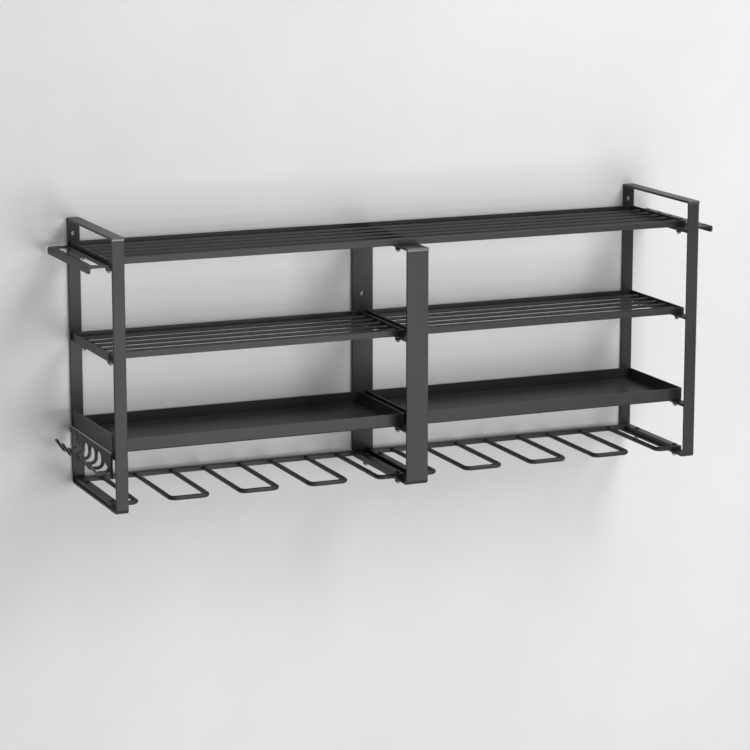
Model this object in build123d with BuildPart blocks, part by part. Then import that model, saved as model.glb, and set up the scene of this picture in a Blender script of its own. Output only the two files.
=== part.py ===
from build123d import *
import os

# Wall rack for hand-held power tools and hand tools, in millimetres.
# X runs along the wall, the front of the rack faces -Y, and Z is up. The wall is the plane Y = 0.
# The origin is on the wall, in the middle of the four wall holes of the two end frames.

# Frames: flat steel strip bent into a U, closed by a bar across the top
frame_span = 800.0
frame_depth = 185.0
end_height = 348.0
end_rise = 38.0
strip_thickness = 3.0
end_strip_width = 16.0
mid_strip_width = 30.0
strip_bend = 2.5
strip_edge_break = 0.4
top_bar_overhang = 0.8
wall_hole_diameter = 6.5
wall_hole_foot_inset = 55.0
wall_hole_top_inset = 20.0
mid_wall_hole_height = 222.0

# Levels above the underside of the frames
middle_shelf_height = 191.5
tray_height = 72.0

# Where the shelves, trays and tool racks sit between the frames
shelf_end_inset = 2.5
shelf_front_setback = 29.5
shelf_back_gap = 0.5
middle_gap = 10.0

# Rod shelves: a rim of folded angle with rods welded across
rim_height = 8.0
rim_thickness = 1.5
rim_flange = 14.0
rim_corner = 1.2
rod_diameter = 4.5
rod_count = 5
weld_sink = 0.3

# Trays of folded sheet
tray_wall = 17.0
tray_sheet = 1.5
tray_bend = 2.0

# Power tool racks: a flat bar frame with bent rod prongs and open slots between them
rack_bar_width = 10.4
rack_back_bar_width = 8.0
prong_diameter = 6.0
prong_bend = 8.0
slots_per_rack = 4
slot_width = 38.5

# Screws and cap nuts
screw_diameter = 4.0
screw_clearance = 0.5
screw_end_inset = 5.5
screw_front_inset = 9.5
screw_back_inset = 35.5
head_diameter = 6.8
head_height = 2.2
socket_width = 2.5
socket_depth = 1.2
nut_width = 7.0
nut_hex_height = 3.4
nut_dome_height = 3.2
nut_bore_clearance = 0.1
nut_bore_depth = 5.4
nut_bore_spare = 0.2

# Side racks of bent sheet, gripped between a crossbar and the shelf or tray above it
sheet = 2.0
sheet_bend = 1.0
side_rack_gap = 2.0
side_rack_clearance = 0.8
side_rack_rise = 3.0
side_rack_step = 4.0
side_rack_lip = 8.0
side_rack_corner = 4.0

# Screwdriver rack on the right
driver_rack_reach = 24.0
driver_count = 6
driver_end_inset = 9.5
driver_hole_diameter = 9.0
driver_hole_reach = 15.0

# Pliers rack on the left
pliers_rack_reach = 28.0
pliers_rail = 8.0
pliers_window_start = 4.0
pliers_window_end_inset = 12.5
pliers_window_corner = 5.0

# Wrench rack on the left: a bracket and a comb of hooks
wrench_bracket_rise = 27.5
wrench_front_gap = 12.0
wrench_back_gap = 10.0
comb_sheet = 3.0
comb_rise = 4.5
comb_back_gap = 2.5
hook_count = 6
hook_width = 5.0
hook_drop = 21.0
hook_reach = 17.5
hook_tip_reach = 10.0
hook_tip_rise = 15.0
hook_bend = 7.0
hook_tip_bend = 4.0
hook_gap_drop = 3.0
hook_gap_round_share = 0.36
first_hook_inset = 9.0
last_hook_inset = 26.5
ear_tip_drop = 27.0
ear_knee = 13.0
ear_knee_drop = 15.0
ear_heel = 30.0
ear_heel_drop = 10.0
ear_root = 33.0

# How far a cut runs past the metal it cuts
overrun = 5.0

# Places worked out from the sizes above
end_wall_hole_height = end_height - wall_hole_top_inset
frame_foot = -(wall_hole_foot_inset + end_wall_hole_height) / 2
mid_height = end_height - end_rise
top_shelf_level = frame_foot + mid_height
middle_shelf_level = frame_foot + middle_shelf_height
tray_level = frame_foot + tray_height
rack_level = frame_foot + strip_thickness
rack_back = -strip_thickness - strip_bend
frame_middle = -frame_depth / 2
shelf_front = -frame_depth + shelf_front_setback
shelf_back = -strip_thickness - shelf_back_gap
shelf_depth = shelf_back - shelf_front
shelf_middle = (shelf_front + shelf_back) / 2
end_outer = frame_span / 2 + end_strip_width / 2
shelf_end = end_outer - shelf_end_inset
half_length = shelf_end - middle_gap / 2
half_centre = (shelf_end + middle_gap / 2) / 2
screw_rows = (shelf_front + screw_front_inset, shelf_back - screw_back_inset)
end_screw = shelf_end - screw_end_inset
mid_screw = middle_gap / 2 + screw_end_inset
screw_hole = (screw_diameter + screw_clearance) / 2
side_rack_length = frame_depth - 2 * strip_thickness - 2 * side_rack_gap
crossbar_width = end_strip_width - shelf_end_inset
crossbar_place = shelf_end - crossbar_width / 2
side_rack_grip = shelf_end - crossbar_width
screw_reach = strip_thickness + nut_bore_depth - nut_bore_spare
sheet_centre_bend = sheet_bend + sheet / 2
all_screws = (-end_screw, -mid_screw, mid_screw, end_screw)
left, right = -1, 1
hexagon_side_count = 6

os.makedirs("parts", exist_ok=True)


def finish(piece, name):
    """Names a finished piece and writes it."""
    piece.part.label = name
    export_step(piece.part, f"parts/{name}.step")


def bent_strap(name, x, width, height, wall_hole_height, screw_places):
    """Front post, lower bar and back post in one strip, bent to a U and drilled."""
    post_height = height - strip_thickness
    outer_bend = strip_bend + strip_thickness
    with BuildPart() as strap:
        with BuildSketch(Plane.YZ.offset(x - width / 2)) as outline:
            with Locations((frame_middle, frame_foot + post_height / 2)):
                Rectangle(frame_depth, post_height)
            fillet(outline.vertices().group_by(Axis.Y)[0], outer_bend)
            with BuildSketch(mode=Mode.PRIVATE) as hollow:
                inner_height = post_height - strip_thickness + overrun
                with Locations((frame_middle, frame_foot + strip_thickness + inner_height / 2)):
                    Rectangle(frame_depth - 2 * strip_thickness, inner_height)
                fillet(hollow.vertices().group_by(Axis.Y)[0], strip_bend)
            add(hollow.sketch, mode=Mode.SUBTRACT)
        extrude(amount=width)
        chamfer(strap.edges().filter_by(Axis.Z), strip_edge_break)
        with BuildSketch(Plane.XZ):
            with Locations(*[(x, frame_foot + rise) for rise in (wall_hole_foot_inset, wall_hole_height)]):
                Circle(wall_hole_diameter / 2)
        extrude(amount=strip_thickness + overrun, both=True, mode=Mode.SUBTRACT)
        with BuildSketch(Plane.XY.offset(frame_foot)):
            with Locations(*[(place, row) for place in screw_places for row in screw_rows]):
                Circle(screw_hole)
        extrude(amount=strip_thickness + overrun, both=True, mode=Mode.SUBTRACT)
    finish(strap, name)


def top_bar(name, x, width, height, screw_places):
    """The bar across the tops of a frame's two posts, a little proud of the front post."""
    length = frame_depth + top_bar_overhang
    with BuildPart() as bar:
        with BuildSketch(Plane.XY.offset(frame_foot + height - strip_thickness)):
            with Locations((x, -length / 2)):
                Rectangle(width, length)
        extrude(amount=strip_thickness)
        chamfer(bar.edges().filter_by(GeomType.LINE), strip_edge_break)
        if screw_places:
            with BuildSketch(Plane.XY.offset(frame_foot + height)):
                with Locations(*[(place, row) for place in screw_places for row in screw_rows]):
                    Circle(screw_hole)
            extrude(amount=strip_thickness + overrun, both=True, mode=Mode.SUBTRACT)
    finish(bar, name)


def crossbar(name, x, width, level, screw_places):
    """A bar welded between the two posts of a frame, with its top at the given level."""
    with BuildPart() as bar:
        with BuildSketch(Plane.XY.offset(level)):
            with Locations((x, frame_middle)):
                Rectangle(width, frame_depth - 2 * strip_thickness)
        extrude(amount=-strip_thickness)
        chamfer(bar.edges().filter_by(Axis.Y), strip_edge_break)
        with BuildSketch(Plane.XY.offset(level)):
            with Locations(*[(place, row) for place in screw_places for row in screw_rows]):
                Circle(screw_hole)
        extrude(amount=strip_thickness + overrun, both=True, mode=Mode.SUBTRACT)
    finish(bar, name)


def rod_shelf(name, centre, length, level, screw_places, strapped):
    """An angle rim, its flange turned in at the bottom, with rods welded across on the flange."""
    rod_rise = rim_thickness + rod_diameter / 2 - weld_sink
    rod_pitch = shelf_depth / (rod_count + 1)
    rod_length = length - 2 * rim_thickness + 2 * weld_sink
    with BuildPart() as shelf:
        with BuildSketch(Plane.XY.offset(level)) as outline:
            with Locations((centre, shelf_middle)):
                Rectangle(length, shelf_depth)
            fillet(outline.vertices(), rim_corner)
        extrude(amount=rim_height)
        with BuildSketch(Plane.XY.offset(level + rim_thickness)):
            with Locations((centre, shelf_middle)):
                Rectangle(length - 2 * rim_thickness, shelf_depth - 2 * rim_thickness)
        extrude(amount=rim_height, mode=Mode.SUBTRACT)
        with BuildSketch(Plane.XY.offset(level)):
            with Locations((centre, shelf_middle)):
                Rectangle(length - 2 * rim_flange, shelf_depth - 2 * rim_flange)
        extrude(amount=rim_thickness + overrun, both=True, mode=Mode.SUBTRACT)
        if strapped:
            with BuildSketch(Plane.XY.offset(level)):
                with Locations((centre, shelf_middle)):
                    Rectangle(mid_strip_width, shelf_depth - 2 * rim_flange + 2 * weld_sink)
            extrude(amount=rim_thickness)
        with BuildSketch(Plane.YZ.offset(centre - rod_length / 2)):
            with Locations((shelf_middle, level + rod_rise)):
                with GridLocations(rod_pitch, 0, rod_count, 1):
                    Circle(rod_diameter / 2)
        extrude(amount=rod_length)
        with BuildSketch(Plane.XY.offset(level)):
            with Locations(*[(place, row) for place in screw_places for row in screw_rows]):
                Circle(screw_hole)
        extrude(amount=rim_thickness, mode=Mode.SUBTRACT)
    finish(shelf, name)


def tray(name, centre, screw_places):
    """A shallow tray of thin sheet with a bend all round the floor and welded corners."""
    with BuildPart() as pan:
        with BuildSketch(Plane.XY.offset(tray_level)) as outline:
            with Locations((centre, shelf_middle)):
                Rectangle(half_length, shelf_depth)
            fillet(outline.vertices(), tray_bend + tray_sheet)
        extrude(amount=tray_wall)
        fillet(pan.edges().group_by(Axis.Z)[0], tray_bend)
        offset(amount=-tray_sheet, openings=pan.faces().sort_by(Axis.Z)[-1], kind=Kind.INTERSECTION)
        with BuildSketch(Plane.XY.offset(tray_level)):
            with Locations(*[(place, row) for place in screw_places for row in screw_rows]):
                Circle(screw_hole)
        extrude(amount=tray_sheet, mode=Mode.SUBTRACT)
    finish(pan, name)


def rack_frame(name, side):
    """Two side bars with the screw holes and a back bar that carries the prongs."""
    bar_places = (middle_gap / 2 + rack_bar_width / 2, shelf_end - rack_bar_width / 2)
    with BuildPart() as frame:
        with BuildSketch(Plane.XY.offset(rack_level)):
            with Locations(*[(side * place, (shelf_front + rack_back) / 2) for place in bar_places]):
                Rectangle(rack_bar_width, rack_back - shelf_front)
            with Locations((side * half_centre, rack_back - rack_back_bar_width / 2)):
                Rectangle(half_length, rack_back_bar_width)
        extrude(amount=prong_diameter)
        chamfer(frame.edges().group_by(Axis.Z)[-1], strip_edge_break)
        with BuildSketch(Plane.XY.offset(rack_level)):
            with Locations(*[(side * place, row) for place in (mid_screw, end_screw) for row in screw_rows]):
                Circle(screw_hole)
        extrude(amount=prong_diameter + overrun, both=True, mode=Mode.SUBTRACT)
    finish(frame, name)


def rack_prongs(name, side):
    """Bent rods: a full prong between two slots, a half prong beside each side bar."""
    rod = prong_diameter / 2
    rod_level = rack_level + rod
    front = shelf_front + rod
    root = rack_back - rack_back_bar_width
    low_end = half_centre - half_length / 2 + rack_bar_width
    high_end = half_centre + half_length / 2 - rack_bar_width
    slot_pitch = (half_length - 2 * rack_bar_width) / slots_per_rack
    slots = [half_centre + (n - (slots_per_rack - 1) / 2) * slot_pitch for n in range(slots_per_rack)]
    first_leg = slots[0] - slot_width / 2 - rod
    last_leg = slots[-1] + slot_width / 2 + rod
    paths = [[(low_end, front), (first_leg, front), (first_leg, root)]]
    for near, far in zip(slots, slots[1:]):
        leg_a = near + slot_width / 2 + rod
        leg_b = far - slot_width / 2 - rod
        paths.append([(leg_a, root), (leg_a, front), (leg_b, front), (leg_b, root)])
    paths.append([(last_leg, root), (last_leg, front), (high_end, front)])
    with BuildPart() as prongs:
        for path in paths:
            with BuildLine() as run:
                FilletPolyline(*[(side * x, y, rod_level) for x, y in path], radius=prong_bend)
            with BuildSketch(Plane(origin=run.line @ 0, z_dir=run.line % 0)):
                Circle(rod)
            sweep(path=run.line)
    finish(prongs, name)


def screws(name, seat, length):
    """Button head screws with a hex socket, their heads on the seat."""
    with BuildPart() as screw:
        with BuildSketch(Plane.XZ):
            with BuildLine():
                shank = screw_diameter / 2
                Polyline((0, head_height), (0, -length), (shank, -length), (shank, 0), (head_diameter / 2, 0))
                TangentArc((0, head_height), (head_diameter / 2, 0), tangent=(1, 0))
            make_face()
        revolve(axis=Axis.Z)
        with BuildSketch(Plane.XY.offset(head_height)):
            RegularPolygon(socket_width / 2, hexagon_side_count, major_radius=False)
        extrude(amount=-socket_depth, mode=Mode.SUBTRACT)
    with BuildPart() as group:
        with Locations(*[(place, row, seat) for place in all_screws for row in screw_rows]):
            add(screw.part)
    finish(group, name)


def cap_nuts(name, seat, sheeted):
    """Cap nuts under the frames, lower by a sheet where a side rack is gripped above them."""
    dome_foot = nut_hex_height + nut_dome_height
    with BuildPart() as nut:
        with BuildSketch(Plane.XY):
            RegularPolygon(nut_width / 2, hexagon_side_count, major_radius=False)
        extrude(amount=-nut_hex_height)
        with BuildSketch(Plane.XZ):
            with BuildLine():
                Polyline((nut_width / 2, -nut_hex_height), (0, -nut_hex_height), (0, -dome_foot))
                TangentArc((0, -dome_foot), (nut_width / 2, -nut_hex_height), tangent=(1, 0))
            make_face()
        revolve(axis=Axis.Z)
        with BuildSketch(Plane.XY):
            Circle((screw_diameter + nut_bore_clearance) / 2)
        extrude(amount=-nut_bore_depth, mode=Mode.SUBTRACT)
    with BuildPart() as group:
        for place in all_screws:
            drop = sheet if place in sheeted else 0
            with Locations(*[(place, row, seat - drop) for row in screw_rows]):
                add(nut.part)
    finish(group, name)


def bent_sheet(points, bends, thickness, length, middle):
    """A sheet of the given length along Y, bent to follow the points in X and Z."""
    with BuildPart() as blank:
        with BuildLine(Plane.XZ) as run:
            FilletPolyline(*points, radius=bends)
        with BuildSketch(Plane(origin=run.line @ 0, x_dir=(0, 1, 0), z_dir=run.line % 0)):
            with Locations((middle, 0)):
                Rectangle(length, thickness)
        sweep(path=run.line)
    return blank.part


def side_plate(side, reach):
    """The sheet gripped under the top shelf: it steps up outside the shelf, runs out and turns down."""
    low = top_shelf_level - sheet / 2
    high = low + side_rack_rise
    step = shelf_end + side_rack_clearance
    rim = end_outer + reach - sheet / 2
    points = [(side_rack_grip, low), (step, low), (step + side_rack_step, high), (rim, high)]
    points.append((rim, high - side_rack_lip))
    points = [(side * x, z) for x, z in points]
    return bent_sheet(points, sheet_centre_bend, sheet, side_rack_length, frame_middle)


# The three frames
for side, name in ((left, "left"), (right, "right")):
    x = side * frame_span / 2
    screw = [side * end_screw]
    lower_drop = sheet if side == left else 0
    bent_strap(f"{name}_end_frame", x, end_strip_width, end_height, end_wall_hole_height, screw)
    top_bar(f"{name}_top_bar", x, end_strip_width, end_height, [])
    crossbar_x = side * crossbar_place
    crossbar(f"{name}_upper_crossbar", crossbar_x, crossbar_width, top_shelf_level - sheet, screw)
    crossbar(f"{name}_middle_crossbar", crossbar_x, crossbar_width, middle_shelf_level, screw)
    crossbar(f"{name}_lower_crossbar", crossbar_x, crossbar_width, tray_level - lower_drop, screw)
mid_screws = [-mid_screw, mid_screw]
bent_strap("middle_frame", 0, mid_strip_width, mid_height, mid_wall_hole_height, mid_screws)
top_bar("middle_top_bar", 0, mid_strip_width, mid_height, mid_screws)
crossbar("middle_upper_crossbar", 0, mid_strip_width, middle_shelf_level, mid_screws)
crossbar("middle_lower_crossbar", 0, mid_strip_width, tray_level, mid_screws)

# Shelves, trays and power tool racks
rod_shelf("top_shelf", 0, 2 * shelf_end, top_shelf_level, all_screws, True)
for side, name in ((left, "left"), (right, "right")):
    centre = side * half_centre
    half_screws = [side * mid_screw, side * end_screw]
    rod_shelf(f"{name}_rod_shelf", centre, half_length, middle_shelf_level, half_screws, False)
    tray(f"{name}_tray", centre, half_screws)
    rack_frame(f"{name}_tool_rack_frame", side)
    rack_prongs(f"{name}_tool_rack_prongs", side)

# Pliers rack: one long window leaves a rail along the outer edge
with BuildPart() as pliers_rack:
    add(side_plate(left, pliers_rack_reach))
    window_width = pliers_rack_reach - pliers_window_start - pliers_rail
    window_length = side_rack_length - 2 * pliers_window_end_inset
    with BuildSketch(Plane.XY.offset(top_shelf_level)):
        with Locations((-end_outer - pliers_window_start - window_width / 2, frame_middle)):
            RectangleRounded(window_width, window_length, pliers_window_corner)
        with Locations(*[(-end_screw, row) for row in screw_rows]):
            Circle(screw_hole)
    extrude(amount=side_rack_rise + overrun, both=True, mode=Mode.SUBTRACT)
    fillet(pliers_rack.edges().filter_by(Axis.X).group_by(Axis.Z)[0], side_rack_corner)
finish(pliers_rack, "pliers_rack")

# Screwdriver rack: a row of holes near the outer edge
with BuildPart() as screwdriver_rack:
    add(side_plate(right, driver_rack_reach))
    driver_pitch = (side_rack_length - 2 * driver_end_inset) / (driver_count - 1)
    with BuildSketch(Plane.XY.offset(top_shelf_level)):
        with Locations((end_outer + driver_hole_reach, frame_middle)):
            with GridLocations(0, driver_pitch, 1, driver_count):
                Circle(driver_hole_diameter / 2)
        with Locations(*[(end_screw, row) for row in screw_rows]):
            Circle(screw_hole)
    extrude(amount=side_rack_rise + overrun, both=True, mode=Mode.SUBTRACT)
    fillet(screwdriver_rack.edges().filter_by(Axis.X).group_by(Axis.Z)[0], side_rack_corner)
finish(screwdriver_rack, "screwdriver_rack")

# Wrench rack bracket: gripped under the tray and turned up along the outside of the left frame
wrench_length = frame_depth - wrench_front_gap - wrench_back_gap
wrench_front = -frame_depth + wrench_front_gap
wrench_middle = wrench_front + wrench_length / 2
with BuildPart() as wrench_bracket:
    flange = tray_level - sheet / 2
    upstand = -end_outer + sheet / 2
    profile = [(-side_rack_grip, flange), (upstand, flange), (upstand, tray_level + wrench_bracket_rise)]
    add(bent_sheet(profile, sheet_centre_bend, sheet, wrench_length, wrench_middle))
    with BuildSketch(Plane.XY.offset(tray_level)):
        with Locations(*[(-end_screw, row) for row in screw_rows]):
            Circle(screw_hole)
    extrude(amount=sheet + overrun, both=True, mode=Mode.SUBTRACT)
    fillet(wrench_bracket.edges().filter_by(Axis.X).group_by(Axis.Z)[-1], side_rack_corner)
finish(wrench_bracket, "wrench_rack_bracket")

# Wrench rack comb: J hooks cut and bent from one sheet, with an ear at the front, welded on the bracket
comb = -end_outer - comb_sheet / 2
comb_length = frame_depth - wrench_front_gap - comb_back_gap
hook_level = tray_level - hook_drop
hook_knee = comb - hook_reach
hook_pitch = (comb_length - first_hook_inset - last_hook_inset) / (hook_count - 1)
first_hook = wrench_front + first_hook_inset
last_hook = -comb_back_gap - last_hook_inset
gap_width = hook_pitch - hook_width
gap_height = hook_drop + overrun
gap_level = tray_level - hook_gap_drop - gap_height / 2
back_gap = last_hook_inset + overrun
with BuildPart() as wrench_comb:
    profile = [(comb, tray_level + comb_rise), (comb, hook_level), (hook_knee, hook_level)]
    profile.append((hook_knee - hook_tip_reach, hook_level + hook_tip_rise))
    bends = [hook_bend, hook_tip_bend]
    add(bent_sheet(profile, bends, comb_sheet, comb_length, wrench_front + comb_length / 2))
    with BuildSketch(Plane.YZ.offset(comb)) as gaps:
        with Locations(((first_hook + last_hook - hook_pitch) / 2, gap_level)):
            with GridLocations(hook_pitch, 0, hook_count, 1):
                Rectangle(gap_width, gap_height)
        with Locations((last_hook + hook_width / 2 + back_gap / 2, gap_level)):
            Rectangle(back_gap, gap_height)
        fillet(gaps.vertices().group_by(Axis.Y)[-1], gap_width * hook_gap_round_share)
    extrude(amount=hook_reach + hook_tip_reach + overrun, both=True, mode=Mode.SUBTRACT)
    with BuildSketch(Plane.YZ.offset(comb - comb_sheet / 2)):
        with BuildLine():
            rim = [(0, ear_tip_drop), (ear_knee, ear_knee_drop), (ear_heel, ear_heel_drop)]
            rim += [(ear_root, hook_gap_drop), (ear_root, 0), (0, 0)]
            Polyline(*[(wrench_front + along, tray_level - down) for along, down in rim], close=True)
        make_face()
    extrude(amount=comb_sheet)
finish(wrench_comb, "wrench_rack_comb")

# Screws and cap nuts, one group of each for every level
short_screw = rim_thickness + screw_reach
long_screw = prong_diameter + screw_reach
screws("top_shelf_screws", top_shelf_level + rim_thickness, short_screw)
screws("middle_shelf_screws", middle_shelf_level + rim_thickness, short_screw)
screws("tray_screws", tray_level + tray_sheet, short_screw)
screws("tool_rack_screws", rack_level + prong_diameter, long_screw)
cap_nuts("top_shelf_nuts", top_shelf_level - strip_thickness, (-end_screw, end_screw))
cap_nuts("middle_shelf_nuts", middle_shelf_level - strip_thickness, ())
cap_nuts("tray_nuts", tray_level - strip_thickness, (-end_screw,))
cap_nuts("tool_rack_nuts", frame_foot, ())
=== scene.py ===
import math

import bpy
from mathutils import Matrix, Vector


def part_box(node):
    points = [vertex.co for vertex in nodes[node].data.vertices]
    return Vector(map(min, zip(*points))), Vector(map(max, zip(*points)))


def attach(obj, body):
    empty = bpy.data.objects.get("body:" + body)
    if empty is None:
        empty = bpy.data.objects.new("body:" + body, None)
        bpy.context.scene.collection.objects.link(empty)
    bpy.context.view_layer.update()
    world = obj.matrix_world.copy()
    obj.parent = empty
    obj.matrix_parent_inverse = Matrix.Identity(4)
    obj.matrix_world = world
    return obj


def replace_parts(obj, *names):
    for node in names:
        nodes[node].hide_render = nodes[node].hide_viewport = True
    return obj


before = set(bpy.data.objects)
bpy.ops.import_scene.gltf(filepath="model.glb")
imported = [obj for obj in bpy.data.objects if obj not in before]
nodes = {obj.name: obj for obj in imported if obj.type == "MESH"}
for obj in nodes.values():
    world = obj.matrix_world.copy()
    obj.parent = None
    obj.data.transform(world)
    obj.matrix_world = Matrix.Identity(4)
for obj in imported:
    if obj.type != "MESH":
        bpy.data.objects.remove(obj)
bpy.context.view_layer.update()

# Camera: it stands to the left of the rack and a little above it, far off, and looks down at it
# slightly, as in the photograph.
camera_tilt = 11.65
camera_turn = 23.07
camera_data = bpy.data.cameras.new("camera")
camera_data.lens = 137.6
camera_data.sensor_width = 36.0
camera_data.clip_end = 50.0
camera = bpy.data.objects.new("camera", camera_data)
camera.location = (-1.4649, -3.4847, 0.6979)
camera.rotation_euler = (math.radians(90.0 - camera_tilt), 0.0, math.radians(-camera_turn))
bpy.context.scene.collection.objects.link(camera)
bpy.context.scene.camera = camera
bpy.context.scene.view_settings.view_transform = "Standard"

# Stage: a pale plastered wall that the rack hangs on, and a pale floor well below it. Seen from
# behind the wall is clear, so that the back of the rack can be looked at.
wall_width = 8.0
wall_height = 4.8
wall_gap = 0.001
floor_level = -2.0
stage_material = bpy.data.materials.new("pale_plaster")
stage_material.use_nodes = True
tree = stage_material.node_tree
tree.nodes.clear()
output = tree.nodes.new("ShaderNodeOutputMaterial")
mix = tree.nodes.new("ShaderNodeMixShader")
clear = tree.nodes.new("ShaderNodeBsdfTransparent")
plaster = tree.nodes.new("ShaderNodeBsdfPrincipled")
plaster.inputs["Roughness"].default_value = 0.9
plaster.inputs["Specular IOR Level"].default_value = 0.1
facing = tree.nodes.new("ShaderNodeNewGeometry")
plaster_place = tree.nodes.new("ShaderNodeTexCoord")
clouds = tree.nodes.new("ShaderNodeTexNoise")
clouds.inputs["Scale"].default_value = 1.6
clouds.inputs["Detail"].default_value = 5.0
clouds.inputs["Roughness"].default_value = 0.6
shades = tree.nodes.new("ShaderNodeValToRGB")
shades.color_ramp.elements[0].position = 0.3
shades.color_ramp.elements[0].color = (0.70, 0.70, 0.705, 1.0)
shades.color_ramp.elements[1].position = 0.7
shades.color_ramp.elements[1].color = (0.78, 0.78, 0.785, 1.0)
tree.links.new(plaster_place.outputs["Object"], clouds.inputs["Vector"])
tree.links.new(clouds.outputs["Fac"], shades.inputs["Fac"])
tree.links.new(shades.outputs["Color"], plaster.inputs["Base Color"])
tree.links.new(facing.outputs["Backfacing"], mix.inputs["Fac"])
tree.links.new(plaster.outputs["BSDF"], mix.inputs[1])
tree.links.new(clear.outputs["BSDF"], mix.inputs[2])
tree.links.new(mix.outputs["Shader"], output.inputs["Surface"])
bpy.ops.object.select_all(action="DESELECT")
bpy.ops.mesh.primitive_plane_add(size=1.0)
wall = bpy.context.active_object
wall.name = "wall"
wall.data.transform(Matrix.Translation((0.0, wall_gap, floor_level + wall_height / 2))
                    @ Matrix.Rotation(math.radians(90.0), 4, "X")
                    @ Matrix.Diagonal((wall_width, wall_height, 1.0, 1.0)))
wall.data.materials.append(stage_material)
bpy.ops.object.select_all(action="DESELECT")
bpy.ops.mesh.primitive_plane_add(size=1.0)
floor = bpy.context.active_object
floor.name = "floor"
floor.data.transform(Matrix.Translation((0.0, -wall_width / 2, floor_level))
                     @ Matrix.Diagonal((wall_width, wall_width, 1.0, 1.0)))
floor.data.materials.append(stage_material)

# Lights: a soft panel high on the right in front, a low one that the flat fronts mirror softly, a
# weak one on the left, and an even pale surround.
world = bpy.data.worlds.new("studio")
bpy.context.scene.world = world
world.use_nodes = True
world.node_tree.nodes["Background"].inputs["Color"].default_value = (0.95, 0.97, 1.0, 1.0)
world.node_tree.nodes["Background"].inputs["Strength"].default_value = 0.26
for name, place, aim, width, watts in (
    ("key_panel", (1.3, -2.0, 2.3), (0.0, 0.0, 0.0), 1.6, 60.0),
    ("front_panel", (0.6, -2.8, -0.45), (0.0, 0.0, 0.0), 1.3, 42.0),
    ("left_panel", (-2.6, -2.4, 0.9), (0.0, 0.0, 0.0), 1.6, 5.0),
):
    light = bpy.data.lights.new(name, "AREA")
    light.size = width
    light.energy = watts
    lamp = bpy.data.objects.new(name, light)
    lamp.location = place
    lamp.rotation_euler = (Vector(place) - Vector(aim)).to_track_quat("Z", "Y").to_euler()
    bpy.context.scene.collection.objects.link(lamp)

# Frames: 3 mm flat steel strip, bent to a U, with crossbars welded between the posts at each level.
# All of it has a black powder coat: a fine orange peel, a lighter line along the edges that is partly
# thinner powder and partly a painted highlight, and a little dust on the faces that look up.
coat = bpy.data.node_groups.new("powder_coat", "ShaderNodeTree")
for name, kind, value in (("Color", "NodeSocketColor", (0.026, 0.027, 0.029, 1.0)),
                          ("Roughness", "NodeSocketFloat", 0.34),
                          ("Peel Size", "NodeSocketFloat", 900.0),
                          ("Peel Depth", "NodeSocketFloat", 0.25),
                          ("Edge Sheen", "NodeSocketFloat", 0.5),
                          ("Dust", "NodeSocketFloat", 0.08)):
    socket = coat.interface.new_socket(name, in_out="INPUT", socket_type=kind)
    socket.default_value = value
for name, kind in (("Color", "NodeSocketColor"), ("Roughness", "NodeSocketFloat"),
                   ("Normal", "NodeSocketVector")):
    coat.interface.new_socket(name, in_out="OUTPUT", socket_type=kind)
coat_in = coat.nodes.new("NodeGroupInput")
coat_out = coat.nodes.new("NodeGroupOutput")
where = coat.nodes.new("ShaderNodeTexCoord")
peel = coat.nodes.new("ShaderNodeTexNoise")
peel.inputs["Detail"].default_value = 3.0
coat.links.new(where.outputs["Object"], peel.inputs["Vector"])
coat.links.new(coat_in.outputs["Peel Size"], peel.inputs["Scale"])
soft = coat.nodes.new("ShaderNodeBevel")
soft.samples = 6
soft.inputs["Radius"].default_value = 0.0009
bump = coat.nodes.new("ShaderNodeBump")
bump.inputs["Distance"].default_value = 0.0002
coat.links.new(coat_in.outputs["Peel Depth"], bump.inputs["Strength"])
coat.links.new(peel.outputs["Fac"], bump.inputs["Height"])
coat.links.new(soft.outputs["Normal"], bump.inputs["Normal"])
coat.links.new(bump.outputs["Normal"], coat_out.inputs["Normal"])
geometry = coat.nodes.new("ShaderNodeNewGeometry")
turn = coat.nodes.new("ShaderNodeVectorMath")
turn.operation = "DOT_PRODUCT"
coat.links.new(soft.outputs["Normal"], turn.inputs[0])
coat.links.new(geometry.outputs["Normal"], turn.inputs[1])
edge = coat.nodes.new("ShaderNodeMapRange")
edge.inputs["From Min"].default_value = 0.995
edge.inputs["From Max"].default_value = 0.82
edge.inputs["To Min"].default_value = 0.0
edge.inputs["To Max"].default_value = 1.0
coat.links.new(turn.outputs["Value"], edge.inputs["Value"])
edge_amount = coat.nodes.new("ShaderNodeMath")
edge_amount.operation = "MULTIPLY"
coat.links.new(edge.outputs["Result"], edge_amount.inputs[0])
coat.links.new(coat_in.outputs["Edge Sheen"], edge_amount.inputs[1])
patches = coat.nodes.new("ShaderNodeTexNoise")
patches.inputs["Scale"].default_value = 14.0
patches.inputs["Detail"].default_value = 4.0
coat.links.new(where.outputs["Object"], patches.inputs["Vector"])
tone = coat.nodes.new("ShaderNodeMapRange")
tone.inputs["From Min"].default_value = 0.3
tone.inputs["From Max"].default_value = 0.7
tone.inputs["To Min"].default_value = 0.88
tone.inputs["To Max"].default_value = 1.12
coat.links.new(patches.outputs["Fac"], tone.inputs["Value"])
toned = coat.nodes.new("ShaderNodeVectorMath")
toned.operation = "SCALE"
coat.links.new(coat_in.outputs["Color"], toned.inputs[0])
coat.links.new(tone.outputs["Result"], toned.inputs["Scale"])
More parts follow.
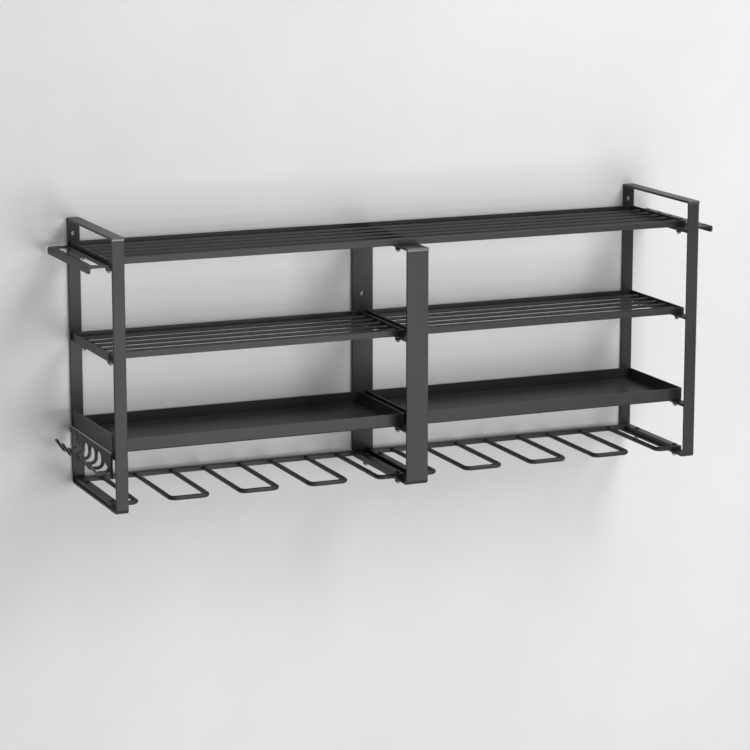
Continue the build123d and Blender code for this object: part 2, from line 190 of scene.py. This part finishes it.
# Edges are mixed towards a light grey here: partly thinner powder and wear, partly a painted highlight along
# every edge.
edges_worn_and_highlighted = coat.nodes.new("ShaderNodeMix")
edges_worn_and_highlighted.data_type = "RGBA"
edges_worn_and_highlighted.inputs["B"].default_value = (0.13, 0.132, 0.136, 1.0)
coat.links.new(edge_amount.outputs["Value"], edges_worn_and_highlighted.inputs["Factor"])
coat.links.new(toned.outputs["Vector"], edges_worn_and_highlighted.inputs["A"])
split = coat.nodes.new("ShaderNodeSeparateXYZ")
coat.links.new(geometry.outputs["Normal"], split.inputs["Vector"])
upward = coat.nodes.new("ShaderNodeMapRange")
upward.inputs["From Min"].default_value = 0.6
upward.inputs["From Max"].default_value = 1.0
coat.links.new(split.outputs["Z"], upward.inputs["Value"])
specks = coat.nodes.new("ShaderNodeTexNoise")
specks.inputs["Scale"].default_value = 160.0
specks.inputs["Detail"].default_value = 6.0
coat.links.new(where.outputs["Object"], specks.inputs["Vector"])
dusty = coat.nodes.new("ShaderNodeMath")
dusty.operation = "MULTIPLY"
coat.links.new(upward.outputs["Result"], dusty.inputs[0])
coat.links.new(specks.outputs["Fac"], dusty.inputs[1])
dust_amount = coat.nodes.new("ShaderNodeMath")
dust_amount.operation = "MULTIPLY"
coat.links.new(dusty.outputs["Value"], dust_amount.inputs[0])
coat.links.new(coat_in.outputs["Dust"], dust_amount.inputs[1])
dusted = coat.nodes.new("ShaderNodeMix")
dusted.data_type = "RGBA"
dusted.inputs["B"].default_value = (0.16, 0.155, 0.15, 1.0)
coat.links.new(dust_amount.outputs["Value"], dusted.inputs["Factor"])
coat.links.new(edges_worn_and_highlighted.outputs["Result"], dusted.inputs["A"])
coat.links.new(dusted.outputs["Result"], coat_out.inputs["Color"])
rough = coat.nodes.new("ShaderNodeMath")
rough.operation = "MULTIPLY_ADD"
rough.inputs[1].default_value = 0.14
coat.links.new(patches.outputs["Fac"], rough.inputs[0])
coat.links.new(coat_in.outputs["Roughness"], rough.inputs[2])
coat.links.new(rough.outputs["Value"], coat_out.inputs["Roughness"])


def coated(name, **values):
    """A powder coated steel material with its own values in the coat's sockets."""
    material = bpy.data.materials.new(name)
    material.use_nodes = True
    nodes_here = material.node_tree.nodes
    shader = nodes_here["Principled BSDF"]
    shader.inputs["Specular IOR Level"].default_value = 0.24
    group = nodes_here.new("ShaderNodeGroup")
    group.node_tree = coat
    for socket, value in values.items():
        group.inputs[socket.replace("_", " ").title()].default_value = value
    for socket, target in (("Color", "Base Color"), ("Roughness", "Roughness"), ("Normal", "Normal")):
        material.node_tree.links.new(group.outputs[socket], shader.inputs[target])
    return material


def finish_nodes(material, *names):
    """Gives the named CAD pieces this material."""
    for name in names:
        for slot in nodes[name].material_slots:
            slot.material = material


frame_coat = coated("frame_powder_coat")
finish_nodes(frame_coat, "left_end_frame", "left_upper_crossbar", "left_middle_crossbar",
             "left_lower_crossbar", "right_end_frame", "right_upper_crossbar", "right_middle_crossbar",
             "right_lower_crossbar", "middle_frame", "middle_upper_crossbar", "middle_lower_crossbar")


def new_piece(piece):
    """The primitive just added, with its place and turn moved into its mesh."""
    bpy.ops.object.transform_apply(location=True, rotation=True, scale=True)
    return piece


def pick(piece, kind, test):
    """Opens the piece in edit mode with only the points, edges or faces that pass the test."""
    bpy.context.view_layer.objects.active = piece
    if piece.mode == "OBJECT":
        bpy.ops.object.mode_set(mode="EDIT")
    bpy.ops.mesh.select_mode(type=kind)
    bpy.ops.mesh.select_all(action="DESELECT")
    bpy.ops.object.mode_set(mode="OBJECT")
    parts = {"VERT": piece.data.vertices, "EDGE": piece.data.edges, "FACE": piece.data.polygons}[kind]
    for part in parts:
        part.select = test(part)
    bpy.ops.object.mode_set(mode="EDIT")


def smoothed(piece):
    """The piece with one level of subdivision applied and its faces shaded smooth."""
    rounding = piece.modifiers.new("rounding", "SUBSURF")
    rounding.levels = 1
    rounding.render_levels = 1
    bpy.context.view_layer.objects.active = piece
    bpy.ops.object.modifier_apply(modifier="rounding")
    bpy.ops.object.shade_smooth()
    return piece


def weld_bead(length, radius):
    """A weld bead along X, centred on the origin: a disc drawn out in ripples, thin at both ends."""
    thin_end = 0.5
    valley = 0.8
    ripples = max(3, round(length / (1.3 * radius)))
    step = length / (2 * ripples)
    bpy.ops.object.select_all(action="DESELECT")
    bpy.ops.mesh.primitive_circle_add(vertices=8, radius=thin_end * radius, fill_type="NGON",
                                      location=(-length / 2, 0.0, 0.0), rotation=(0.0, math.pi / 2, 0.0))
    bead = new_piece(bpy.context.active_object)
    bpy.ops.object.mode_set(mode="EDIT")
    bpy.ops.mesh.select_mode(type="FACE")
    bpy.ops.mesh.select_all(action="SELECT")
    width = thin_end
    for ring in range(1, 2 * ripples + 1):
        bpy.ops.mesh.extrude_region_move(TRANSFORM_OT_translate={"value": (step, 0.0, 0.0)})
        new_width = thin_end if ring == 2 * ripples else 1.0 if ring % 2 else valley
        bpy.ops.transform.resize(value=(1.0, new_width / width, new_width / width),
                                 center_override=(ring * step - length / 2, 0.0, 0.0))
        width = new_width
    bpy.ops.mesh.select_all(action="SELECT")
    bpy.ops.mesh.normals_make_consistent(inside=False)
    bpy.ops.object.mode_set(mode="OBJECT")
    return smoothed(bead)


def copies(name, pattern, places, material):
    """The pattern piece copied to each place, each copy with its own mesh, joined under one name."""
    if not pattern.data.materials:
        pattern.data.materials.append(material)
    made = []
    for place in places:
        made.append(bpy.data.objects.new(name, pattern.data.copy()))
        made[-1].data.transform(place)
        bpy.context.scene.collection.objects.link(made[-1])
    bpy.ops.object.select_all(action="DESELECT")
    for piece in made:
        piece.select_set(True)
    bpy.context.view_layer.objects.active = made[0]
    bpy.ops.object.join()
    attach(made[0], "root")
    return made[0]


# Top bars: 3 mm strip across the posts, welded on. The front end stands out a little past the post and is
# pressed down over it, with a round nose. The nose has a glossier coat that is also painted lighter than the
# frame: a painted highlight.
near = 0.00001
cut_slack = 0.000001
nose = 0.0028
nose_steps = 8
lip = 0.0014
lip_edge = 0.0005
lip_edge_steps = 2
overhang = 0.0008
# Nose coat: glossier, and painted lighter than the frame coat, as a painted highlight along the round nose.
nose_highlight_coat = coated("nose_highlight_powder_coat", color=(0.05, 0.05, 0.052, 1.0), roughness=0.2, peel_depth=0.12)
nose_highlight_coat.node_tree.nodes["Principled BSDF"].inputs["Specular IOR Level"].default_value = 0.7
for side in ("left", "middle", "right"):
    low, high = (Vector(corner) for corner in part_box(f"{side}_top_bar"))
    bpy.ops.object.select_all(action="DESELECT")
    bpy.ops.mesh.primitive_cube_add(size=1.0, location=(low + high) / 2, scale=high - low)
    top_bar = new_piece(bpy.context.active_object)
    top_bar.name = f"{side}_top_bar_bent"
    pick(top_bar, "FACE", lambda face: True)
    bpy.ops.mesh.bisect(plane_co=(0.0, low.y + overhang, 0.0), plane_no=(0.0, 1.0, 0.0), threshold=cut_slack)
    pick(top_bar, "FACE", lambda face: face.normal.z < -0.9 and face.center.y < low.y + overhang)
    bpy.ops.mesh.extrude_region_move(TRANSFORM_OT_translate={"value": (0.0, 0.0, -lip)})
    points = top_bar.data.vertices
    for height, offset, steps in ((high.z, nose, nose_steps), (low.z - lip, lip_edge, lip_edge_steps)):
        pick(top_bar, "EDGE", lambda edge: all(
            abs(points[point].co.z - height) < near and points[point].co.y < low.y + near
            for point in edge.vertices))
        bpy.ops.mesh.bevel(offset=offset, segments=steps, affect="EDGES")
    bpy.ops.object.mode_set(mode="OBJECT")
    bpy.ops.object.shade_smooth_by_angle(angle=math.radians(40.0))
    top_bar.data.materials.append(frame_coat)
    top_bar.data.materials.append(nose_highlight_coat)
    for face in top_bar.data.polygons:
        face.material_index = 1 if face.center.y < low.y + nose and abs(face.normal.x) < 0.5 else 0
    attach(top_bar, "root")
    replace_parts(top_bar, f"{side}_top_bar")

# Frame welds: a short rippled bead of weld in the corner under each end of every top bar and
# crossbar, run along the bar's width and coated together with the frame.
strip = 0.003
weld_radius = 0.0014
end_weld = 0.0085
middle_weld = 0.024
weld_coat = coated("weld_powder_coat", roughness=0.4, edge_sheen=0.2)
end_bead = weld_bead(end_weld, weld_radius)
middle_bead = weld_bead(middle_weld, weld_radius)
end_bars = ("top_bar", "upper_crossbar", "middle_crossbar", "lower_crossbar")
for side, frame_name, bead, bars in (
    ("left", "left_end_frame", end_bead, end_bars),
    ("right", "right_end_frame", end_bead, end_bars),
    ("middle", "middle_frame", middle_bead, ("top_bar", "upper_crossbar", "lower_crossbar")),
):
    frame_low, frame_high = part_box(frame_name)
    seats = []
    for bar in bars:
        low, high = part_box(f"{side}_{bar}")
        for corner in (frame_low[1] + strip, frame_high[1] - strip):
            seats.append(Matrix.Translation(((low[0] + high[0]) / 2, corner, low[2])))
    copies(f"{side}_frame_welds", bead, seats, weld_coat)
bpy.data.objects.remove(end_bead)
bpy.data.objects.remove(middle_bead)

# Rod shelves: a rim of folded angle, its flange turned in at the bottom, with 4.5 mm round rods laid
# on the flange and welded to the rim at both ends with a ring of weld.
shelf_coat = coated("shelf_powder_coat")
finish_nodes(shelf_coat, "top_shelf", "left_rod_shelf", "right_rod_shelf")


def weld_ring(radius, thickness):
    """A ring of weld round an X axis on the origin, its bead thicker and thinner by turns."""
    segments = 24
    bpy.ops.object.select_all(action="DESELECT")
    bpy.ops.mesh.primitive_torus_add(major_segments=segments, minor_segments=6, major_radius=radius,
                                     minor_radius=thickness, rotation=(0.0, math.pi / 2, 0.0))
    ring = new_piece(bpy.context.active_object)
    share = 2 * math.pi / segments
    pick(ring, "VERT", lambda point: round(math.atan2(point.co.z, point.co.y) / share) % 2 == 0)
    bpy.ops.transform.resize(value=(0.72, 0.94, 0.94), center_override=(0.0, 0.0, 0.0))
    bpy.ops.object.mode_set(mode="OBJECT")
    return smoothed(ring)


rods = 5
rod_height = 0.00345
rim = 0.0015
weld_stand = 0.0002
rod_weld_ring = 0.00245
rod_weld_thickness = 0.0008
rod_ring = weld_ring(rod_weld_ring, rod_weld_thickness)
for shelf in ("top_shelf", "left_rod_shelf", "right_rod_shelf"):
    low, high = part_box(shelf)
    pitch = (high[1] - low[1]) / (rods + 1)
    seats = [Matrix.Translation((end, low[1] + (rod + 1) * pitch, low[2] + rod_height))
             for rod in range(rods) for end in (low[0] + rim + weld_stand, high[0] - rim - weld_stand)]
    copies(f"{shelf}_rod_welds", rod_ring, seats, weld_coat)
bpy.data.objects.remove(rod_ring)

# Trays: 1.5 mm sheet folded up on four sides, with a bend all round the floor, and seam welded up
# each corner from the inside.
tray_coat = coated("tray_powder_coat", dust=0.15)
finish_nodes(tray_coat, "left_tray", "right_tray")
corner_weld = 0.0125
corner_weld_radius = 0.0008
corner_weld_middle = 0.0098
inset = 0.0018
corner_bead = weld_bead(corner_weld, corner_weld_radius)
for tray in ("left_tray", "right_tray"):
    low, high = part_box(tray)
    seats = [Matrix.Translation((x, y, low[2] + corner_weld_middle)) @ Matrix.Rotation(math.pi / 2, 4, "Y")
             for x in (low[0] + inset, high[0] - inset) for y in (low[1] + inset, high[1] - inset)]
    copies(f"{tray}_corner_welds", corner_bead, seats, weld_coat)
bpy.data.objects.remove(corner_bead)

# Power tool racks: two flat side bars and a back bar, with prongs of bent 6 mm round rod butted on
# the bars and welded all round.
tool_rack_coat = coated("tool_rack_powder_coat")
finish_nodes(tool_rack_coat, "left_tool_rack_frame", "left_tool_rack_prongs", "right_tool_rack_frame",
             "right_tool_rack_prongs")
prong_radius = 0.003
side_bar = 0.0104
prong_root = -0.0135
slots = 4
slot_width = 0.0385
prong_weld_ring = 0.0031
prong_weld_thickness = 0.0009
prong_ring = weld_ring(prong_weld_ring, prong_weld_thickness)
for side in ("left", "right"):
    low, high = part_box(f"{side}_tool_rack_frame")
    level = (low[2] + high[2]) / 2
    slot_pitch = (high[0] - low[0] - 2 * side_bar) / slots
    seats = []
    for slot in range(slots):
        for edge in (-1, 1):
            leg = low[0] + side_bar + (slot + 0.5) * slot_pitch + edge * (slot_width / 2 + prong_radius)
            seats.append(Matrix.Translation((leg, prong_root - weld_stand, level))
                         @ Matrix.Rotation(math.pi / 2, 4, "Z"))
    for bar in (low[0] + side_bar + weld_stand, high[0] - side_bar - weld_stand):
        seats.append(Matrix.Translation((bar, low[1] + prong_radius, level)))
    copies(f"{side}_prong_welds", prong_ring, seats, weld_coat)
bpy.data.objects.remove(prong_ring)

# Side racks: cut and bent sheet. The faces that look up along the wrench comb's top edge are painted near
# white, a painted highlight. The comb is spot welded to its bracket, and each spot leaves a shallow round
# dent with a raised rim.
highlight_depth = 0.0006
highlight_full = 0.0003
# The side racks and the comb get a strong light line along their edges: mostly a painted highlight, partly
# thinner powder.
side_rack_coat = coated("side_rack_powder_coat", edge_sheen=0.9)
finish_nodes(side_rack_coat, "wrench_rack_bracket", "pliers_rack", "screwdriver_rack")
comb_coat = coated("comb_powder_coat", edge_sheen=0.9)
comb_low, comb_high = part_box("wrench_rack_comb")
comb_tree = comb_coat.node_tree
comb_shader = comb_tree.nodes["Principled BSDF"]
surface = comb_tree.nodes.new("ShaderNodeNewGeometry")
upright = comb_tree.nodes.new("ShaderNodeSeparateXYZ")
comb_place = comb_tree.nodes.new("ShaderNodeTexCoord")
comb_height = comb_tree.nodes.new("ShaderNodeSeparateXYZ")
comb_tree.links.new(surface.outputs["Normal"], upright.inputs["Vector"])
comb_tree.links.new(comb_place.outputs["Object"], comb_height.inputs["Vector"])
faces_up = comb_tree.nodes.new("ShaderNodeMapRange")
faces_up.inputs["From Min"].default_value = 0.5
faces_up.inputs["From Max"].default_value = 0.9
comb_tree.links.new(upright.outputs["Z"], faces_up.inputs["Value"])
at_top = comb_tree.nodes.new("ShaderNodeMapRange")
at_top.inputs["From Min"].default_value = comb_high[2] - highlight_depth
at_top.inputs["From Max"].default_value = comb_high[2] - highlight_full
comb_tree.links.new(comb_height.outputs["Z"], at_top.inputs["Value"])
highlight_mask = comb_tree.nodes.new("ShaderNodeMath")
highlight_mask.operation = "MULTIPLY"
comb_tree.links.new(faces_up.outputs["Result"], highlight_mask.inputs[0])
comb_tree.links.new(at_top.outputs["Result"], highlight_mask.inputs[1])
# Upward faces at the comb's top are mixed towards near white: a painted highlight along the top edge.
comb_highlight = comb_tree.nodes.new("ShaderNodeMix")
comb_highlight.data_type = "RGBA"
comb_highlight.inputs["B"].default_value = (0.72, 0.72, 0.73, 1.0)
comb_tree.links.new(highlight_mask.outputs["Value"], comb_highlight.inputs["Factor"])
comb_tree.links.new(comb_shader.inputs["Base Color"].links[0].from_socket, comb_highlight.inputs["A"])
comb_tree.links.new(comb_highlight.outputs["Result"], comb_shader.inputs["Base Color"])
finish_nodes(comb_coat, "wrench_rack_comb")
spot_radius = 0.0022
spot_thickness = 0.0004
spot_rim = 0.0005
spot_rise = 0.0001
spot_slope = 0.0004
spot_dent = 0.0002
bpy.ops.object.select_all(action="DESELECT")
bpy.ops.mesh.primitive_cylinder_add(vertices=24, radius=spot_radius, depth=spot_thickness,
                                    rotation=(0.0, -math.pi / 2, 0.0))
spot = new_piece(bpy.context.active_object)
pick(spot, "FACE", lambda face: face.normal.x < -0.9)
bpy.ops.mesh.inset(thickness=spot_rim)
bpy.ops.transform.translate(value=(-spot_rise, 0.0, 0.0))
bpy.ops.mesh.inset(thickness=spot_slope)
bpy.ops.transform.translate(value=(spot_dent, 0.0, 0.0))
bpy.ops.object.mode_set(mode="OBJECT")
bpy.ops.object.shade_smooth_by_angle(angle=math.radians(50.0))
comb_sheet = 0.003
hooks = 6
hook_pitch = 0.027
first_hook = 0.009
spot_drop = 0.0037
seats = [Matrix.Translation((comb_high[0] - comb_sheet, comb_low[1] + first_hook + hook * hook_pitch,
                             comb_high[2] - spot_drop)) for hook in range(hooks)]
copies("comb_spot_welds", spot, seats, side_rack_coat)
bpy.data.objects.remove(spot)

# Cap nuts: 7 mm across the flats, with a chamfered hexagon and a domed end, plated with black
# nickel. The domes are polished and catch the light. They are screwed up from below.
flats = 0.007
nut_corner = 0.00404
nut_height = 0.0034
nut_chamfer = 0.0004
dome_radius = 0.0032
dome_foot = 0.0031
polish_level = -0.0035
end_x = 0.4
middle_x = 0.0105
bracket_sheet = 0.002
plating = coated("black_nickel", color=(0.05, 0.05, 0.052, 1.0), roughness=0.14, peel_depth=0.03,
                 edge_sheen=0.2)
plating.node_tree.nodes["Principled BSDF"].inputs["Metallic"].default_value = 1.0
polish = coated("polished_nickel", color=(0.5, 0.5, 0.51, 1.0), roughness=0.03, peel_depth=0.02,
                edge_sheen=0.0)
polish.node_tree.nodes["Principled BSDF"].inputs["Metallic"].default_value = 1.0
bpy.ops.object.select_all(action="DESELECT")
bpy.ops.mesh.primitive_cylinder_add(vertices=6, radius=nut_corner, depth=nut_height,
                                    location=(0.0, 0.0, -nut_height / 2),
                                    rotation=(0.0, 0.0, math.radians(30.0)))
nut = new_piece(bpy.context.active_object)
pick(nut, "EDGE", lambda edge: abs(nut.data.vertices[edge.vertices[0]].co.z
                                   - nut.data.vertices[edge.vertices[1]].co.z) < near)
bpy.ops.mesh.bevel(offset=nut_chamfer, segments=2, affect="EDGES")
bpy.ops.mesh.primitive_uv_sphere_add(segments=24, ring_count=16, radius=dome_radius,
                                     location=(0.0, 0.0, -nut_height))
bpy.ops.mesh.bisect(plane_co=(0.0, 0.0, -dome_foot), plane_no=(0.0, 0.0, 1.0), use_fill=True,
                    clear_outer=True, threshold=cut_slack)
bpy.ops.object.mode_set(mode="OBJECT")
bpy.ops.object.shade_smooth_by_angle(angle=math.radians(35.0))
nut.data.materials.append(plating)
nut.data.materials.append(polish)
for face in nut.data.polygons:
    face.material_index = 1 if face.center.z < polish_level else 0
columns = (-end_x, -middle_x, middle_x, end_x)
for group, lowered in (("top_shelf_nuts", (-end_x, end_x)), ("middle_shelf_nuts", ()),
                       ("tray_nuts", (-end_x,)), ("tool_rack_nuts", ())):
    low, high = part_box(group)
    seats = [Matrix.Translation((x, y, high[2] - (bracket_sheet if x in lowered else 0.0)))
             for x in columns for y in (low[1] + flats / 2, high[1] - flats / 2)]
    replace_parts(copies(f"{group}_domed", nut, seats, plating), group)
bpy.data.objects.remove(nut)

# Button head screws: turned from bar, with a rounded head and a hexagon socket, plated like the
# nuts. They go down through the shelf or rack and the crossbar into the cap nuts.
socket_flats = 0.0025
socket_depth = 0.0012
socket_reach = 0.0016
head_flat = 0.0019
head_radius = 0.0034
head_height = 0.0022


def button_screw(length):
    """A screw of this length below its head, the underside of the head on the origin."""
    ring = 24
    bpy.ops.object.select_all(action="DESELECT")
    bpy.ops.mesh.primitive_circle_add(vertices=6, radius=socket_flats / math.sqrt(3), fill_type="NOTHING",
                                      location=(0.0, 0.0, head_height))
    screw = new_piece(bpy.context.active_object)
    bpy.ops.object.mode_set(mode="EDIT")
    bpy.ops.mesh.select_mode(type="VERT")
    bpy.ops.mesh.select_all(action="SELECT")
    bpy.ops.mesh.subdivide(number_cuts=ring // 6 - 1)
    width, height = head_flat, head_height
    bpy.ops.mesh.primitive_circle_add(vertices=ring, radius=width, fill_type="NOTHING",
                                      location=(0.0, 0.0, height))
    outline = ((0.0024, 0.0021), (0.00285, 0.0018), (0.0032, 0.0013), (0.00336, 0.0008),
               (head_radius, 0.0003), (0.00325, 0.0), (0.002, 0.0), (0.002, 0.0005 - length),
               (0.0016, -length))
    for new_width, new_height in outline:
        bpy.ops.mesh.extrude_edges_move(TRANSFORM_OT_translate={"value": (0.0, 0.0, new_height - height)})
        bpy.ops.transform.resize(value=(new_width / width, new_width / width, 1.0),
                                 center_override=(0.0, 0.0, new_height))
        width, height = new_width, new_height
    bpy.ops.mesh.fill()
    pick(screw, "VERT", lambda point: point.co.z > head_height - near)
    bpy.ops.mesh.bridge_edge_loops()
    pick(screw, "VERT", lambda point: point.co.z > head_height - near and point.co.xy.length < socket_reach)
    bpy.ops.mesh.extrude_edges_move(TRANSFORM_OT_translate={"value": (0.0, 0.0, -socket_depth)})
    bpy.ops.mesh.fill()
    bpy.ops.mesh.select_all(action="SELECT")
    bpy.ops.mesh.normals_make_consistent(inside=False)
    bpy.ops.object.mode_set(mode="OBJECT")
    bpy.ops.object.shade_smooth_by_angle(angle=math.radians(40.0))
    return screw


for group in ("top_shelf_screws", "middle_shelf_screws", "tray_screws", "tool_rack_screws"):
    low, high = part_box(group)
    screw = button_screw(high[2] - head_height - low[2])
    seats = [Matrix.Translation((x, y, high[2] - head_height))
             for x in columns for y in (low[1] + head_radius, high[1] - head_radius)]
    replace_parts(copies(f"{group}_turned", screw, seats, plating), group)
    bpy.data.objects.remove(screw)
